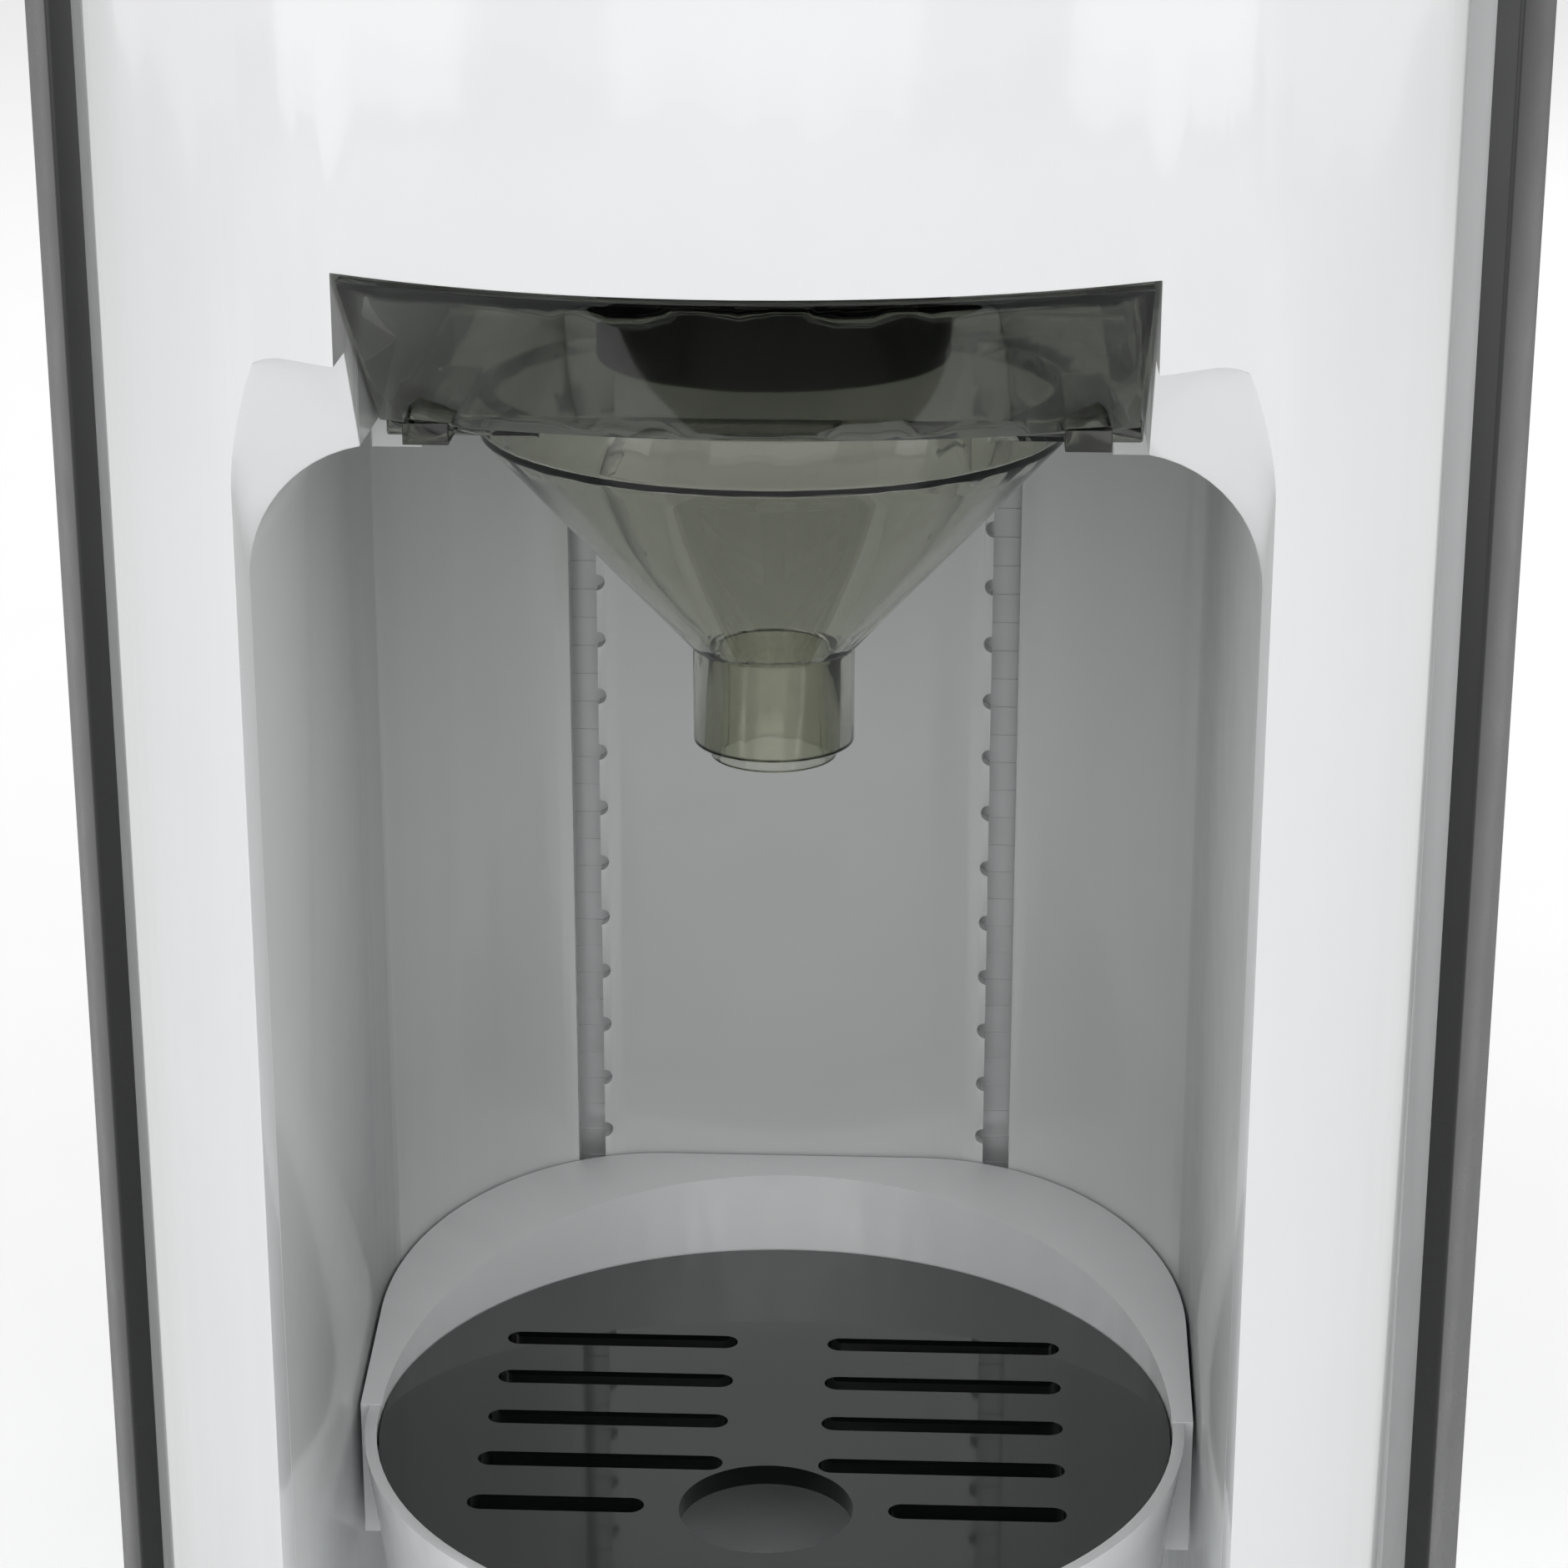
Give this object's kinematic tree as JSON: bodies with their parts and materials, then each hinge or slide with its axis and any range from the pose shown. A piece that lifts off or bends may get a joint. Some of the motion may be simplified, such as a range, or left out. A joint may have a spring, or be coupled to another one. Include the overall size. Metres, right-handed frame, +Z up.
{
  "type": "baby formula maker",
  "caption": "Countertop baby formula maker with an arched bottle bay, sliding funnel, height-set stand, powder container, rear water tank and sloping control panel.",
  "frame": {"origin": "middle of the footprint, on the surface the feet stand on", "axes": "+Z up, the front with the bottle bay faces -Y, +X is on the right when facing the front"},
  "size_m": [0.1834, 0.29, 0.3343],
  "materials": {
    "white_gloss": "glossy moulded ABS",
    "liner_white": "satin moulded ABS",
    "black_trim": "semi-gloss moulded ABS",
    "black_gloss": "piano gloss",
    "smoke_clear": "smoked clear copolyester",
    "dark_nylon": "matt",
    "button_grey": "satin",
    "pale_acetal": "satin acetal",
    "steel": "zinc plated",
    "bronze": "sintered bronze",
    "soft_rubber": "matt silicone",
    "circuit_board": "solder mask",
    "pump_body": "glass-filled nylon"
  },
  "bodies": {
    "housing": {"base_plate": "white_gloss", "front_shell": "white_gloss", "rear_housing": "white_gloss", "tank_platform": "white_gloss", "niche_liner": "liner_white", "funnel_rails": "liner_white", "trim_left": "black_trim", "trim_right": "black_trim", "top_deck": "black_trim", "control_panel": "black_gloss", "display_window": "smoke_clear", "powder_chute": "dark_nylon", "funnel_sensor": "dark_nylon", "display_module": "dark_nylon", "pump_cradle": "dark_nylon", "motor_bracket": "dark_nylon", "water_spout": "pale_acetal", "housing_screws": "steel", "control_board_screws": "steel", "motor_screws": "steel", "gear_motor": "steel", "heater_block": "steel", "heater_bracket": "steel", "shaft_bush": "bronze", "rubber_feet": "soft_rubber", "socket_seal": "soft_rubber", "cord_gland": "soft_rubber", "inlet_hose": "soft_rubber", "delivery_hose": "soft_rubber", "hot_hose": "soft_rubber", "control_board": "circuit_board", "main_board": "circuit_board", "power_board": "circuit_board", "water_pump": "pump_body"},
    "bottle_stand": {"bottle_stand": "white_gloss"},
    "drip_plate": {"drip_plate": "black_gloss"},
    "funnel": {"funnel": "smoke_clear", "funnel_nozzle": "smoke_clear"},
    "funnel_cover": {"funnel_cover": "smoke_clear"},
    "powder_container": {"powder_container": "smoke_clear", "scraper_plate": "liner_white", "container_lid_pin": "steel"},
    "container_lid": {"container_lid": "white_gloss"},
    "powder_rotor": {"dosing_wheel": "pale_acetal", "stir_wheel": "pale_acetal"},
    "drive_train": {"drive_gear": "pale_acetal", "drive_shaft": "steel"},
    "motor_rotor": {"motor_pinion": "pale_acetal", "motor_shaft": "steel"},
    "water_tank": {"water_tank": "smoke_clear", "tank_lid_pin": "steel", "valve_spring": "steel"},
    "tank_lid": {"tank_lid": "white_gloss"},
    "tank_valve": {"valve_plunger": "pale_acetal"},
    "start_button": {"start_button": "button_grey"},
    "power_button": {"power_button": "button_grey"},
    "temperature_button": {"temperature_button": "button_grey"},
    "volume_up_button": {"volume_up_button": "button_grey"},
    "volume_down_button": {"volume_down_button": "button_grey"},
    "powder_button": {"powder_button": "button_grey"}
  },
  "joints": [
    {"name": "stand_slide", "type": "slide", "parent": "housing", "child": "bottle_stand", "axis": [0, 0, 1], "range_m": [-0.057, 0]},
    {"name": "plate_lift", "type": "slide", "parent": "bottle_stand", "child": "drip_plate", "axis": [0, 0, 1], "range_m": [0, 0.03]},
    {"name": "funnel_slide", "type": "slide", "parent": "housing", "child": "funnel", "axis": [0, -1, 0], "range_m": [0, 0.11]},
    {"name": "cover_slide", "type": "slide", "parent": "funnel", "child": "funnel_cover", "axis": [0, -1, 0], "range_m": [0, 0.03]},
    {"name": "container_lift", "type": "slide", "parent": "housing", "child": "powder_container", "axis": [0, 0, 1], "range_m": [0, 0.06]},
    {"name": "container_lid_hinge", "type": "hinge", "parent": "powder_container", "child": "container_lid", "pos_m": [0, 0.0442, 0.3273], "axis": [-1, 0, 0], "range_deg": [0, 100]},
    {"name": "drive_spin", "type": "hinge", "parent": "housing", "child": "drive_train", "pos_m": [0, -0.022, 0.2645], "axis": [0, 0, 1], "continuous": true},
    {"name": "pinion_spin", "type": "hinge", "parent": "housing", "child": "motor_rotor", "pos_m": [0, 0.008, 0.2645], "axis": [0, 0, 1], "continuous": true},
    {"name": "rotor_spin", "type": "hinge", "parent": "powder_container", "child": "powder_rotor", "pos_m": [0, -0.022, 0.285], "axis": [0, 0, 1], "continuous": true},
    {"name": "tank_lift", "type": "slide", "parent": "housing", "child": "water_tank", "axis": [0, 0, 1], "range_m": [0, 0.08]},
    {"name": "tank_lid_hinge", "type": "hinge", "parent": "water_tank", "child": "tank_lid", "pos_m": [0, 0.0647, 0.2916], "axis": [1, 0, 0], "range_deg": [0, 85]},
    {"name": "valve_lift", "type": "slide", "parent": "water_tank", "child": "tank_valve", "axis": [0, 0, 1], "range_m": [0, 0.003], "stiffness_N_per_m": 150, "springref_m": -0.004, "deforming": ["valve_spring"]},
    {"name": "start_press", "type": "slide", "parent": "housing", "child": "start_button", "axis": [0, 0.2419, -0.9703], "range_m": [0, 0.0008], "stiffness_N_per_m": 1500, "springref_m": -0.0006},
    {"name": "power_press", "type": "slide", "parent": "housing", "child": "power_button", "axis": [0, 0.2419, -0.9703], "range_m": [0, 0.0008], "stiffness_N_per_m": 1500, "springref_m": -0.0006},
    {"name": "temperature_press", "type": "slide", "parent": "housing", "child": "temperature_button", "axis": [0, 0.2419, -0.9703], "range_m": [0, 0.0008], "stiffness_N_per_m": 1500, "springref_m": -0.0006},
    {"name": "volume_up_press", "type": "slide", "parent": "housing", "child": "volume_up_button", "axis": [0, 0.2419, -0.9703], "range_m": [0, 0.0008], "stiffness_N_per_m": 1500, "springref_m": -0.0006},
    {"name": "volume_down_press", "type": "slide", "parent": "housing", "child": "volume_down_button", "axis": [0, 0.2419, -0.9703], "range_m": [0, 0.0008], "stiffness_N_per_m": 1500, "springref_m": -0.0006},
    {"name": "powder_press", "type": "slide", "parent": "housing", "child": "powder_button", "axis": [0, 0.2419, -0.9703], "range_m": [0, 0.0008], "stiffness_N_per_m": 1500, "springref_m": -0.0006}
  ],
  "couplings": [
    {"joint": "pinion_spin", "follows": "drive_spin", "ratio": -4},
    {"joint": "rotor_spin", "follows": "drive_spin", "ratio": 1}
  ]
}
